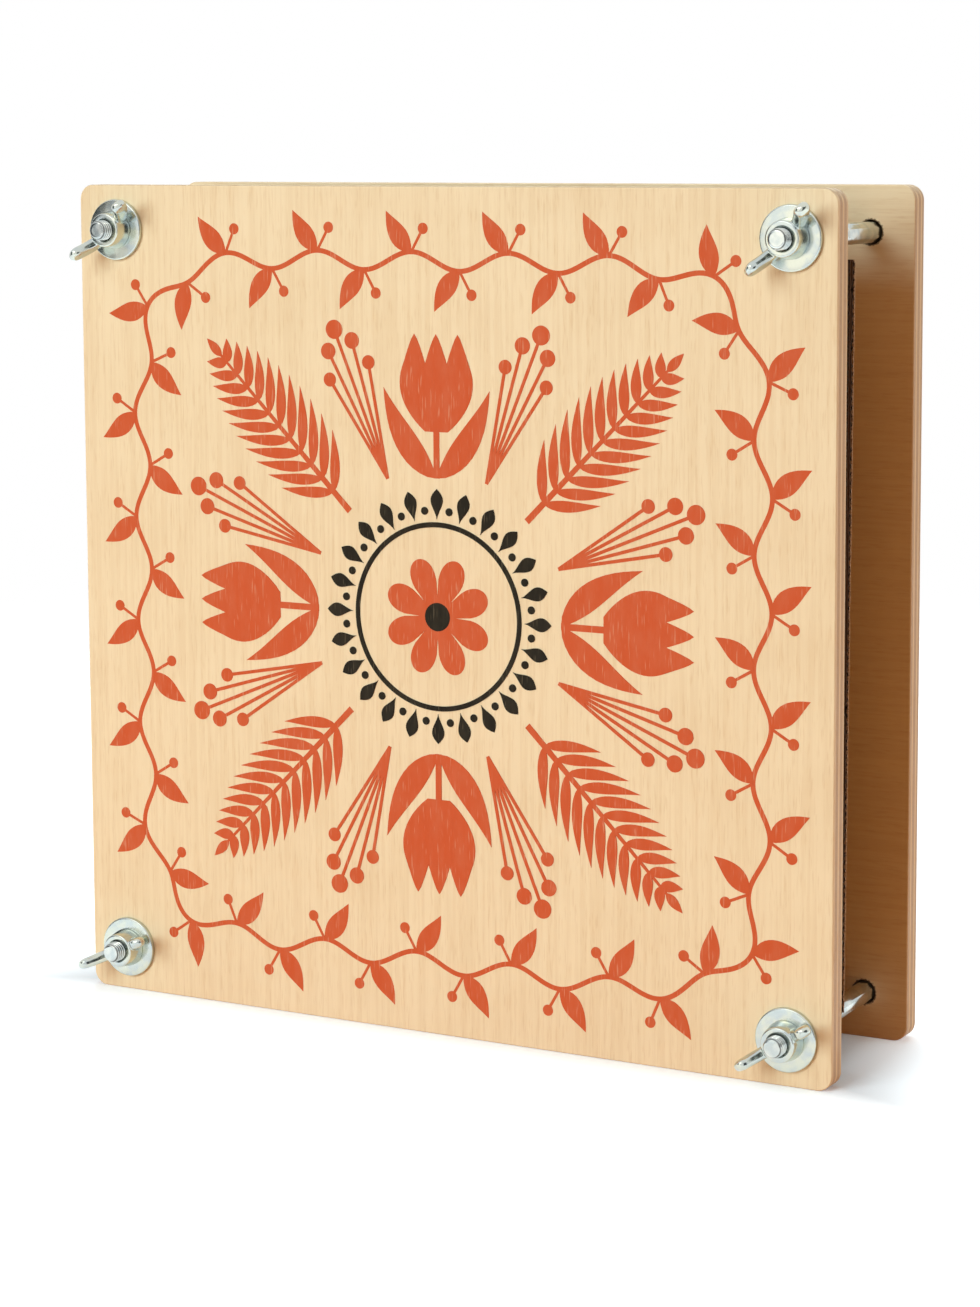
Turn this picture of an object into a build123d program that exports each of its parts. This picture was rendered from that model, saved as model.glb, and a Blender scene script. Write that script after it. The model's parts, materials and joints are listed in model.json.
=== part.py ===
from build123d import *
from math import radians, sin
import os

# A flower press that stands on the edges of its two boards, as it is seen from the front right.
# Millimetres. X is to the right, Y runs from the front board to the back board and Z is up.
# The origin is under the middle of the whole press, on the surface that it stands on.

# Boards of birch plywood
BOARD_SIDE = 203.0
BOARD_THICK = 5.7
BOARD_CORNER_RADIUS = 3.6
BOARD_ARRIS_RADIUS = 0.3
BOARD_GAP = 40.0
BOLT_INSET = 11.0
BOARD_HOLE_PLAY = 0.45

# Carriage bolts, M5 by 60
BOLT_DIAMETER = 5.0
BOLT_LENGTH = 60.0
THREAD_LENGTH = 36.0
THREAD_PITCH = 0.8
THREAD_DEPTH_PER_PITCH = 0.6134
THREAD_ALLOWANCE = 0.05
HEAD_DIAMETER = 13.0
HEAD_HEIGHT = 3.0
HEAD_RIM = 0.6
NECK_LENGTH = 3.5
NECK_PLAY = 0.05

# Large flat washers
WASHER_DIAMETER = 15.0
WASHER_THICK = 1.2
WASHER_PLAY = 0.25
WASHER_EDGE_RADIUS = 0.3

# Wing nuts, with the angle that each one has been left at, from +X towards +Z
NUT_BASE_DIAMETER = 9.4
NUT_TOP_DIAMETER = 7.8
NUT_HUB_HEIGHT = 4.6
NUT_HEIGHT = 9.0
NUT_PLAY = 0.05
WING_REACH = 10.8
WING_THICK = 2.8
WING_TIP_WIDTH = 4.0
WING_TIP_DEPTH = 2.4
WING_TIP_RADIUS = 1.35
WING_EDGE_RADIUS = 0.8
WING_ROOT_LIFT = 0.8
WING_ROOT_INSET = 0.6
WING_ELBOW_STEP = 1.3
NUT_ANGLES = {"top_left": 42.0, "top_right": 48.0, "bottom_left": 24.5, "bottom_right": 33.0}

# The pack: corrugated cards with two blotting papers between each two of them
CARD_MARGIN = 3.7
BLOTTER_MARGIN = 6.0
NOTCH_REACH = 4.0
NOTCH_RADIUS = 1.5
SHEET_SEAT_GAP = 0.3
PACK_SKEW = 0.4
CARD_COUNT = 5
CARD_THICK = 1.6
CARD_LINER = 0.25
FLUTE_PITCH = 1.9
FLUTE_WALL = 0.3
FLUTE_CREST = 0.24
BLOTTERS_PER_GAP = 2
BLOTTER_THICK = 0.48

# Places along Y, from the front of the wing nuts to the back of the bolt heads
PRESS_DEPTH = NUT_HEIGHT + WASHER_THICK + 2 * BOARD_THICK + BOARD_GAP + HEAD_HEIGHT
WASHER_FRONT_Y = NUT_HEIGHT - PRESS_DEPTH / 2
FRONT_OUTER_Y = WASHER_FRONT_Y + WASHER_THICK
FRONT_INNER_Y = FRONT_OUTER_Y + BOARD_THICK
BACK_INNER_Y = FRONT_INNER_Y + BOARD_GAP
BACK_OUTER_Y = BACK_INNER_Y + BOARD_THICK
BOLT_TIP_Y = BACK_OUTER_Y - BOLT_LENGTH

# Sizes that follow from the ones above
BOARD_HOLE_DIAMETER = BOLT_DIAMETER + 2 * BOARD_HOLE_PLAY
THREAD_DIAMETER = BOLT_DIAMETER - 2 * THREAD_ALLOWANCE
THREAD_DEPTH = THREAD_DEPTH_PER_PITCH * THREAD_PITCH
NUT_BORE_DIAMETER = THREAD_DIAMETER + 2 * NUT_PLAY
BOLT_REACH = BOARD_SIDE / 2 - BOLT_INSET
CARD_SIDE = BOARD_SIDE - 2 * CARD_MARGIN
BLOTTER_SIDE = BOARD_SIDE - 2 * BLOTTER_MARGIN
# Every sheet's notches end on these lines, on both sides of the pack's middle.
NOTCH_LINE = BOLT_REACH - NOTCH_REACH
# The pack hangs a little askew, with a lower notch on the lower right bolt.
PACK_DROP = (BOLT_REACH + BOLT_DIAMETER / 2) * sin(radians(PACK_SKEW))
PACK_MIDDLE_Z = BOLT_INSET + BOLT_DIAMETER / 2 + SHEET_SEAT_GAP + NOTCH_LINE + PACK_DROP

CORNERS = {
    "top_left": (-BOLT_REACH, BOARD_SIDE - BOLT_INSET),
    "top_right": (BOLT_REACH, BOARD_SIDE - BOLT_INSET),
    "bottom_left": (-BOLT_REACH, BOLT_INSET),
    "bottom_right": (BOLT_REACH, BOLT_INSET),
}


def facing_front(y):
    """The upright plane at depth y that faces -Y: its x is X, and its y is Z from the boards' middle."""
    return Plane(origin=(0, y, BOARD_SIDE / 2), x_dir=(1, 0, 0), z_dir=(0, -1, 0))


def slab(outline, y, thick):
    """A flat piece with the given outline, from depth y to y + thick."""
    return extrude(facing_front(y) * outline, amount=-thick)


def turned(points):
    """A turned piece from its half section, given as (radius, depth) points, about the Y axis."""
    return revolve(make_face(Polyline(*points, close=True)), Axis.Y)


def board(outer_y, inner_y):
    """A plywood board with rounded corners, softened arrises and a clearance hole for each bolt."""
    near_y = min(outer_y, inner_y)
    blank = slab(RectangleRounded(BOARD_SIDE, BOARD_SIDE, BOARD_CORNER_RADIUS), near_y, BOARD_THICK)
    blank = fillet(blank.faces().filter_by(Axis.Y).edges(), BOARD_ARRIS_RADIUS)
    hole = turned([
        (0, near_y),
        (BOARD_HOLE_DIAMETER / 2, near_y),
        (BOARD_HOLE_DIAMETER / 2, near_y + BOARD_THICK),
        (0, near_y + BOARD_THICK),
    ])
    for x, z in CORNERS.values():
        blank -= Pos(x, 0, z) * hole
    return blank


def back_board():
    """The back board, with a square seat for the neck of each bolt."""
    blank = board(BACK_OUTER_Y, BACK_INNER_Y)
    side = BOLT_DIAMETER + 2 * NECK_PLAY
    depth = NECK_LENGTH + NECK_PLAY
    for x, z in CORNERS.values():
        blank -= Pos(x, BACK_OUTER_Y - depth / 2, z) * Box(side, depth, side)
    return blank


def carriage_bolt():
    """A bolt on the Y axis: domed head behind the back board, square neck, plain shank, threaded end."""
    shank_radius = BOLT_DIAMETER / 2
    thread_radius = THREAD_DIAMETER / 2
    head_radius = HEAD_DIAMETER / 2
    thread_end_y = BOLT_TIP_Y + THREAD_LENGTH
    rim_y = BACK_OUTER_Y + HEAD_RIM
    crown_y = BACK_OUTER_Y + HEAD_HEIGHT
    dome_radius = (head_radius**2 + (crown_y - rim_y) ** 2) / (2 * (crown_y - rim_y))
    section = Polyline(
        (head_radius, rim_y),
        (head_radius, BACK_OUTER_Y),
        (shank_radius, BACK_OUTER_Y),
        (shank_radius, thread_end_y),
        (thread_radius, thread_end_y - THREAD_ALLOWANCE),
        (thread_radius, BOLT_TIP_Y + THREAD_DEPTH),
        (thread_radius - THREAD_DEPTH, BOLT_TIP_Y),
        (0, BOLT_TIP_Y),
        (0, crown_y),
    )
    dome = RadiusArc((0, crown_y), (head_radius, rim_y), dome_radius)
    bolt = revolve(make_face(section + dome), Axis.Y)
    neck = Box(BOLT_DIAMETER, NECK_LENGTH, BOLT_DIAMETER)
    return bolt + Pos(0, BACK_OUTER_Y - NECK_LENGTH / 2, 0) * neck


def washer():
    """A flat washer on the Y axis, against the front board, with a rounded rim."""
    inner = BOLT_DIAMETER / 2 + WASHER_PLAY
    outer = WASHER_DIAMETER / 2
    ring = turned([
        (inner, WASHER_FRONT_Y),
        (outer, WASHER_FRONT_Y),
        (outer, FRONT_OUTER_Y),
        (inner, FRONT_OUTER_Y),
    ])
    rims = ring.edges().filter_by(GeomType.CIRCLE).sort_by(SortBy.RADIUS)[-2:]
    return fillet(rims, WASHER_EDGE_RADIUS)


def wing():
    """One wing of a nut: an ear in the XY plane that rises outwards from the hub, with rounded edges."""
    root_y = WASHER_FRONT_Y - WING_ROOT_LIFT
    hub_top_y = WASHER_FRONT_Y - NUT_HUB_HEIGHT
    tip_y = WASHER_FRONT_Y - NUT_HEIGHT
    root_x = NUT_TOP_DIAMETER / 2 - WING_ROOT_INSET
    foot_x = NUT_BASE_DIAMETER / 2 + WING_ROOT_LIFT
    elbow = (foot_x + WING_ELBOW_STEP, (root_y + hub_top_y) / 2)
    outline = Polyline(
        (root_x, root_y),
        (foot_x, root_y),
        elbow,
        (WING_REACH, tip_y + WING_TIP_DEPTH),
        (WING_REACH, tip_y),
        (WING_REACH - WING_TIP_WIDTH, tip_y),
        (NUT_TOP_DIAMETER / 2, hub_top_y + WING_EDGE_RADIUS),
        (root_x, hub_top_y + WING_EDGE_RADIUS),
        close=True,
    )
    ear = make_face(outline)
    tips = ear.vertices().sort_by(Axis.Y)[:2]
    ear = fillet(tips, WING_TIP_RADIUS)
    plate = extrude(ear, amount=WING_THICK / 2, both=True)
    return fillet(plate.faces().filter_by(Axis.Z).edges(), WING_EDGE_RADIUS)


def wing_nut():
    """A wing nut on the Y axis, against its washer, with its wings along X."""
    base_radius = NUT_BASE_DIAMETER / 2
    top_radius = NUT_TOP_DIAMETER / 2
    hub_top_y = WASHER_FRONT_Y - NUT_HUB_HEIGHT
    soft = THREAD_DEPTH
    hub = turned([
        (0, WASHER_FRONT_Y),
        (base_radius, WASHER_FRONT_Y),
        (base_radius, WASHER_FRONT_Y - soft),
        (top_radius, hub_top_y + soft / 2),
        (top_radius - soft / 2, hub_top_y),
        (0, hub_top_y),
    ])
    bore_radius = NUT_BORE_DIAMETER / 2
    bore = turned([
        (0, WASHER_FRONT_Y),
        (bore_radius + soft, WASHER_FRONT_Y),
        (bore_radius, WASHER_FRONT_Y - soft),
        (bore_radius, hub_top_y + soft),
        (bore_radius + soft, hub_top_y),
        (0, hub_top_y),
    ])
    return hub + wing() + mirror(wing(), Plane.YZ) - bore


def sheet_outline(side):
    """The outline of a sheet in the pack: a square with a notch round each bolt."""
    notch = side / 2 - NOTCH_LINE
    outline = Rectangle(side, side)
    corner = Rectangle(2 * notch, 2 * notch)
    outline -= [Pos(sx * side / 2, sz * side / 2) * corner for sx in (-1, 1) for sz in (-1, 1)]
    edge = side / 2 - notch / 2
    inner_corners = [v for v in outline.vertices() if abs(v.X) < edge and abs(v.Y) < edge]
    return fillet(inner_corners, NOTCH_RADIUS)


def sheet(side, thick):
    """A plain sheet in the pack's outline, with its front face at depth 0 and its middle at height 0."""
    return extrude(Plane.XZ * sheet_outline(side), amount=-thick)


def card():
    """A corrugated card: two liners and, between them, flutes that run along X."""
    front_y = CARD_LINER
    back_y = CARD_THICK - CARD_LINER
    narrow = FLUTE_CREST / 2
    wide = FLUTE_PITCH / 2 - FLUTE_WALL - narrow
    cell_count = 2 * int(CARD_SIDE / FLUTE_PITCH) - 1
    lowest_z = -(cell_count - 1) * FLUTE_PITCH / 4
    edge = Plane(origin=(-CARD_SIDE / 2, 0, 0), x_dir=(0, 1, 0), z_dir=(1, 0, 0))
    cells = []
    for i in range(cell_count):
        z = lowest_z + i * FLUTE_PITCH / 2
        near, far = (wide, narrow) if i % 2 == 0 else (narrow, wide)
        corners = [(front_y, z - near), (back_y, z - far), (back_y, z + far), (front_y, z + near)]
        cells.append(extrude(edge * make_face(Polyline(*corners, close=True)), amount=CARD_SIDE))
    return sheet(CARD_SIDE, CARD_THICK) - cells


def in_pack(blank, y):
    """A sheet in its place in the pack, with its front face at depth y."""
    return Pos(0, y, PACK_MIDDLE_Z) * Rot(0, PACK_SKEW, 0) * blank


def write(shape, name):
    """Saves one piece under its name."""
    export_step(shape, f"parts/{name}.step")


os.makedirs("parts", exist_ok=True)

write(board(FRONT_OUTER_Y, FRONT_INNER_Y), "front_board")
write(back_board(), "back_board")

bolt = carriage_bolt()
ring = washer()
nut = wing_nut()
for corner, (x, z) in CORNERS.items():
    place = Pos(x, 0, z)
    write(place * bolt, f"bolt_{corner}")
    write(place * ring, f"washer_{corner}")
    write(place * Rot(0, -NUT_ANGLES[corner], 0) * nut, f"wing_nut_{corner}")

card_blank = card()
blotter_blank = sheet(BLOTTER_SIDE, BLOTTER_THICK)
sheet_y = FRONT_INNER_Y
blotter_number = 0
for card_number in range(1, CARD_COUNT + 1):
    write(in_pack(card_blank, sheet_y), f"card_{card_number}")
    sheet_y += CARD_THICK
    if card_number < CARD_COUNT:
        for _ in range(BLOTTERS_PER_GAP):
            blotter_number += 1
            write(in_pack(blotter_blank, sheet_y), f"blotter_{blotter_number}")
            sheet_y += BLOTTER_THICK
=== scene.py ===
import json
import math

import bmesh
import bpy
import numpy as np
from bpy.props import FloatProperty, FloatVectorProperty, IntProperty, PointerProperty
from mathutils import Matrix, Vector


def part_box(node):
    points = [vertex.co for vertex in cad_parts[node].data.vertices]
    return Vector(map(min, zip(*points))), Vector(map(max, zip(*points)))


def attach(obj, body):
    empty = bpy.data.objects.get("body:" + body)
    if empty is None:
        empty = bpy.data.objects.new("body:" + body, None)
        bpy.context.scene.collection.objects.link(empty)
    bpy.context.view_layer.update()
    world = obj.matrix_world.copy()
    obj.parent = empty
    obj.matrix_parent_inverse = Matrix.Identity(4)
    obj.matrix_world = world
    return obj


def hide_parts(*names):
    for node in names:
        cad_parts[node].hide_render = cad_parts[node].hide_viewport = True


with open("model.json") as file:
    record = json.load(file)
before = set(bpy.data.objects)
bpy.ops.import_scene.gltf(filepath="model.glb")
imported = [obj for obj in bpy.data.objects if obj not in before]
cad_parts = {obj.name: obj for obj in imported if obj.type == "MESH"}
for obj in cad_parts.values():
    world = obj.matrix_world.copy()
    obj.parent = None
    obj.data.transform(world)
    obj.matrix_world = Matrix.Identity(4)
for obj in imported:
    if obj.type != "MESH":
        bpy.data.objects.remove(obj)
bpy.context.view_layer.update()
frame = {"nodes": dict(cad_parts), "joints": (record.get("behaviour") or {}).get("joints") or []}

bl_info = {
    "name": "Flower press",
    "version": (1, 0, 0),
    "blender": (4, 5, 0),
    "location": "View3D > Sidebar > Flower press",
    "description": "Finishes a flower press around its packed frame, piece by piece",
    "category": "Object",
}

MM = 0.001
TURN = 2 * math.pi
# Points that are nearer to each other than this are one point.
HAIR = 1e-7
# The axes that a board's face grain can follow
SIDEWAYS, UPRIGHT = 0, 2
CORNERS = ("top_left", "top_right", "bottom_left", "bottom_right")
NODES = frame["nodes"]
JOINTS = {joint["name"]: joint for joint in frame["joints"]}
CARDS = sorted(name for name in NODES if name.startswith("card_"))
BLOTTERS = sorted(name for name in NODES if name.startswith("blotter_"))

# Places that everything else is worked out from, read from the frame, in metres
FRONT_LOW, FRONT_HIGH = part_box("front_board")
BACK_LOW, BACK_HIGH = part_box("back_board")
BOARD_HALF = FRONT_HIGH.x
BOARD_MIDDLE = (FRONT_LOW.z + FRONT_HIGH.z) / 2
BOARD_THICK = FRONT_HIGH.y - FRONT_LOW.y
BOLT_REACH = JOINTS["turn_wing_nut_top_right"]["pos_m"][0]


# Settings that a user would change


def colour(name, description, default):
    """A colour that the user can change."""
    return FloatVectorProperty(
        name=name, description=description, default=default, subtype="COLOR", size=3, min=0.0, max=1.0)


def length(name, description, default):
    """A length that the user can change, given here in millimetres and held in metres."""
    return FloatProperty(
        name=name, description=description, default=default * MM, unit="LENGTH", subtype="DISTANCE",
        precision=5)


def angle(name, description, degrees):
    """An angle that the user can change, given here in degrees."""
    return FloatProperty(
        name=name, description=description, default=math.radians(degrees), unit="ROTATION", subtype="ANGLE")


def number(name, description, default):
    """A plain number that the user can change."""
    return FloatProperty(name=name, description=description, default=default)


class WoodSettings(bpy.types.PropertyGroup):
    """Birch plywood."""

    light: colour("Light birch", "The palest wood between the fibres", (0.92, 0.765, 0.505))
    dark: colour("Dark birch", "The wood in the darker streaks", (0.815, 0.632, 0.385))
    end_grain: colour("End grain", "Plies that are cut across their fibres", (0.50, 0.32, 0.17))
    glue: colour("Glue line", "The dark line between two plies", (0.22, 0.12, 0.06))
    # Painted shade: this near-black ring round each drilled hole stands for the shade of the gap round the
    # bolt, over a ragged rim of real torn fibres.
    torn: colour("Torn fibre", "Scorched and torn fibres round the drilled holes", (0.10, 0.06, 0.03))


class InkSettings(bpy.types.PropertyGroup):
    """The two colours of the block print."""

    red: colour("Red ink", "The print's red", (0.64, 0.108, 0.035))
    black: colour("Black ink", "The print's black", (0.012, 0.0085, 0.004))
    thickness: length("Film", "How far the dry ink stands off the wood", 0.02)
    sunk: length("Soaked depth", "How far the ink reaches into the wood", 0.03)
    layer_step: length("Layer step", "How much each motif stands off the one printed before it", 0.0004)


class MetalSettings(bpy.types.PropertyGroup):
    """Zinc-plated steel hardware."""

    cool: colour("Cool zinc", "Bluish zinc plate", (0.52, 0.58, 0.575))
    warm: colour("Warm zinc", "Zinc plate with a trace of yellow", (0.64, 0.665, 0.575))
    fresh: colour("Fresh zinc", "The brighter plate of the bolts", (0.70, 0.725, 0.68))
    # Painted shade: the dark colour in the thread grooves stands for the shade in them.
    oil: colour("Oil", "Oil and dust in the grooves of the threads", (0.06, 0.055, 0.045))
    pitch: length("Thread pitch", "Travel of a nut in one turn", 0.8)
    thread_depth: length("Thread depth", "Height of the thread from root to crest", 0.45)
    bolt_diameter: length("Bolt", "Outside diameter of the thread", 4.9)
    shank_diameter: length("Shank", "Diameter of the plain part of the bolt", 5.0)
    head_rim: length("Head rim", "Thickness of the domed head at its edge", 0.6)
    neck_length: length("Square neck", "Length of the square neck under the head", 3.5)
    thread_length: length("Threaded length", "Length of the threaded end", 36.0)
    washer_bore: length("Washer bore", "Diameter of the washer's hole", 5.5)
    hub_base: length("Hub base", "Diameter of the nut's hub at the washer", 9.4)
    hub_top: length("Hub top", "Diameter of the nut's hub at its face", 7.8)
    hub_height: length("Hub height", "Height of the nut's hub", 4.6)
    wing_reach: length("Wing reach", "Distance of the wing's tip from the axis", 10.8)
    nut_height: length("Nut height", "Height of the nut over its wings", 9.0)
    wing_breadth: length("Wing breadth", "Breadth of a wing at its tip, in the plane of the axis", 4.0)
    wing_thickness: length("Wing thickness", "Thickness of a wing at its middle", 2.8)


class SheetSettings(bpy.types.PropertyGroup):
    """Corrugated cards and blotting papers."""

    kraft: colour("Kraft", "Brown kraft liner", (0.25, 0.135, 0.066))
    # Painted shade: the pack's cut side edges are near black because they lie in shade, not from handling.
    kraft_cut: colour("Cut kraft", "The liners' cut edges, dark from handling", (0.10, 0.062, 0.040))
    # Painted highlight: a pale line along the last liner's cut edge, standing for light caught by that edge.
    kraft_pale: colour(
        "Pale kraft", "The cut edge of the last liner, next to the back board", (0.74, 0.60, 0.47))
    # Painted shade: the flutes are near black for the shade inside them and between the cards, not for the
    # paper's own colour.
    fluting: colour("Fluting", "The coarse dark paper of the flutes", (0.035, 0.019, 0.010))
    paper: colour("Blotting paper", "Soft uncoated paper", (0.84, 0.80, 0.70))
    notch_reach: length("Notch reach", "Distance from a bolt's axis to the edges of the notch round it", 4.0)
    skew: angle("Skew", "How far the pack hangs askew", 0.4)
    liner: length("Liner", "Thickness of a card's liners and flutes", 0.24)
    flute_pitch: length("Flute pitch", "Distance from one flute to the next", 1.9)
    recess: length("Flute recess", "How far the flutes end short of the liners", 0.08)
    fray: length("Fray", "How far the cut edges wander", 0.12)
    nick: length("Nick", "Size of the deepest nicks in the edges", 1.1)
    slack: length("Slack", "How much thinner than its place a blotting paper is, to share no face", 0.02)


class PrintSettings(bpy.types.PropertyGroup):
    """The generic folk design on the front board."""

    vine_half: length("Vine frame", "Half the side of the leafy frame", 84.0)
    vine_sway: length("Vine sway", "How far the vine swings to each side", 2.2)
    vine_waves: IntProperty(
        name="Vine waves", description="Swings of the vine round the whole frame", default=24)
    blade_size: length("Vine blade", "Length of a leaf on the vine", 11.5)
    ring_radius: length("Sun wheel", "Radius of the black ring", 22.0)
    ring_drops: IntProperty(name="Drops", description="Drops round the sun wheel", default=24)
    rosette_radius: length("Rosette", "Radius of the rosette in the ring", 14.5)
    tulip_height: length("Tulip", "Height of a tulip's cup", 23.0)
    fern_length: length("Fern", "Length of a fern frond", 52.0)


class StageSettings(bpy.types.PropertyGroup):
    """Camera, lights and floor."""

    yaw: angle("Yaw", "How far the camera stands to the right of the front", 28.61)
    pitch: angle("Pitch", "How far the camera looks down", 6.7)
    roll: angle("Roll", "How far the picture is turned", 0.24)
    eye: FloatVectorProperty(
        name="Eye", description="Where the camera stands", default=(0.3729, -0.6717, 0.2150),
        subtype="TRANSLATION", unit="LENGTH", size=3)
    focal_pixels: number("Focal length", "Focal length in pixels of the photograph", 3196.9)
    centre_x: number("Axis right", "The optical axis, in pixels right of the picture's middle", 16.1)
    centre_y: number("Axis up", "The optical axis, in pixels above the picture's middle", 143.8)
    key_power: number("Key power", "Power of the big softbox in front, in watts", 22.7)
    key_tint: colour("Softbox tint", "Tint of the softboxes, against the warm shade", (0.75, 0.935, 1.0))
    rim_power: number("Rim power", "Power of the softbox at the right, in watts", 5.2)
    back_power: number("Back power", "Power of the softbox behind, in watts", 16.0)
    top_power: number("Top power", "Power of the softbox overhead, in watts", 6.0)
    ambient: number("Ambient", "Strength of the studio's even light", 0.28)
    shade: colour("Shade", "Tint of the even light", (1.0, 0.42, 0.14))
    floor: colour("Floor", "The pale floor", (0.84, 0.93, 1.0))
    bounce: colour("Bounce", "What the floor throws back at the press", (0.75, 0.33, 0.10))
    floor_lift: number("Floor lift", "How much white the floor shows by itself, clear of the press", 0.55)
    card_grey: colour("Dark card", "The dark cards that the metal mirrors", (0.045, 0.055, 0.06))
    card_tint: colour("Bright card tint", "Tint of the bright cards that metal mirrors", (1.0, 0.98, 0.92))
    card_white: number("Bright card", "Strength of the bright card that the metal mirrors", 3.0)


class PressSettings(bpy.types.PropertyGroup):
    """Everything that a user of the press would change."""

    wood: PointerProperty(type=WoodSettings)
    ink: PointerProperty(type=InkSettings)
    metal: PointerProperty(type=MetalSettings)
    sheets: PointerProperty(type=SheetSettings)
    print: PointerProperty(type=PrintSettings)
    stage: PointerProperty(type=StageSettings)


# Shader maths


class Wire:
    """One output of a material's nodes. Arithmetic on wires and numbers adds Math nodes."""

    def __init__(self, graph, socket):
        self.graph = graph
        self.socket = socket

    def math(self, operation, *others):
        """A Math node with this wire first."""
        return self.graph.add("ShaderNodeMath", {"operation": operation}, dict(enumerate((self, *others))))

    def __add__(self, other):
        return self.math("ADD", other)

    def __sub__(self, other):
        return self.math("SUBTRACT", other)

    def __rsub__(self, other):
        return self.graph.add("ShaderNodeMath", {"operation": "SUBTRACT"}, {0: other, 1: self})

    def __mul__(self, other):
        return self.math("MULTIPLY", other)

    def __truediv__(self, other):
        return self.math("DIVIDE", other)

    def __pow__(self, other):
        return self.math("POWER", other)

    def __abs__(self):
        return self.math("ABSOLUTE")

    __radd__ = __add__
    __rmul__ = __mul__

    def rise(self, low, high):
        """0 below low, 1 above high and smooth between; falls instead if low is above high."""
        span = {"From Min": low, "From Max": high, "To Min": 0.0, "To Max": 1.0}
        if low > high:
            span = {"From Min": high, "From Max": low, "To Min": 1.0, "To Max": 0.0}
        settings = {"interpolation_type": "SMOOTHSTEP"}
        return self.graph.add("ShaderNodeMapRange", settings, {"Value": self, **span})


class Graph:
    """The nodes of one material or world, its owner."""

    def __init__(self, owner):
        owner.use_nodes = True
        self.owner = owner
        self.tree = owner.node_tree
        self.tree.nodes.clear()

    def add(self, kind, settings=(), inputs=(), output=0):
        """Adds a node: first come its settings, then its sockets' values or links. Returns one output."""
        node = self.tree.nodes.new(kind)
        for key, value in dict(settings).items():
            setattr(node, key, value)
        for key, value in dict(inputs).items():
            if isinstance(value, Wire):
                self.tree.links.new(value.socket, node.inputs[key])
            else:
                node.inputs[key].default_value = value
        return Wire(self, node.outputs[output]) if node.outputs else node

    def place(self):
        """Object coordinates."""
        return self.add("ShaderNodeTexCoord", output="Object")

    def split(self, vector):
        """The three parts of a vector."""
        node = self.add("ShaderNodeSeparateXYZ", (), {0: vector}).socket.node
        return [Wire(self, socket) for socket in node.outputs]

    def stretched(self, vector, scale):
        """A vector multiplied part by part, or as a whole by one number."""
        parts = scale if isinstance(scale, tuple) else (scale,) * 3
        return self.add("ShaderNodeVectorMath", {"operation": "MULTIPLY"}, {0: vector, 1: parts})

    def noise(self, place, scale, detail=2.0, roughness=0.5):
        """Soft noise with about as many blobs to a metre as its scale, which may differ by axis."""
        vector = self.stretched(place, scale)
        inputs = {"Vector": vector, "Scale": 1.0, "Detail": detail, "Roughness": roughness}
        return self.add("ShaderNodeTexNoise", (), inputs)

    def mix(self, factor, first, second):
        """Two colours mixed by a factor."""
        ends = [end if isinstance(end, Wire) else (*end, 1.0) for end in (first, second)]
        inputs = {0: factor, 6: ends[0], 7: ends[1]}
        return self.add("ShaderNodeMix", {"data_type": "RGBA"}, inputs, output=2)

    def bump(self, height, distance, strength=1.0):
        """A normal tilted by a height map."""
        inputs = {"Strength": strength, "Distance": distance, "Height": height}
        return self.add("ShaderNodeBump", (), inputs)

    def close(self, surface, output="ShaderNodeOutputMaterial"):
        """Ends the graph in an output node and hands its owner back."""
        self.add(output, (), {"Surface": surface})
        return self.owner

    def finish(self, **sockets):
        """Ends a material in a Principled shader, with underscores for the spaces in its sockets' names."""
        named = {key.replace("_", " "): value for key, value in sockets.items()}
        return self.close(self.add("ShaderNodeBsdfPrincipled", (), named))


# Finishes


def drawn_out(grain, across, along):
    """Noise scales for the three axes, with a scale of its own along the grain."""
    return tuple(along if axis == grain else across for axis in range(3))


def wood_face(graph, place, grain):
    """Birch with its fibres along one axis: (how dark it is, with 1 for the dark tint, and its fine dashes).

    The dark is the sum of three noises: dashes and long streaks drawn out along the grain, and soft blotches
    that lie across it.
    """
    dashes = graph.noise(place, drawn_out(grain, 2600.0, 210.0), 1.0)
    streaks = graph.noise(place, drawn_out(grain, 1100.0, 26.0), 3.0)
    figure = graph.noise(place, drawn_out(grain, 34.0, 55.0), 3.0, 0.55)
    depth = dashes.rise(0.54, 0.74) * 0.50 + streaks.rise(0.38, 0.66) * 0.42 + figure.rise(0.30, 0.75) * 0.30
    return depth, dashes


def off_bolt(graph, place):
    """Distance from the nearest bolt's axis, by folding the four bolts onto one."""
    x, _, z = graph.split(place)
    aside = abs(x) - BOLT_REACH
    above = abs(z - BOARD_MIDDLE) - BOLT_REACH
    return (aside * aside + above * above) ** 0.5


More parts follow.
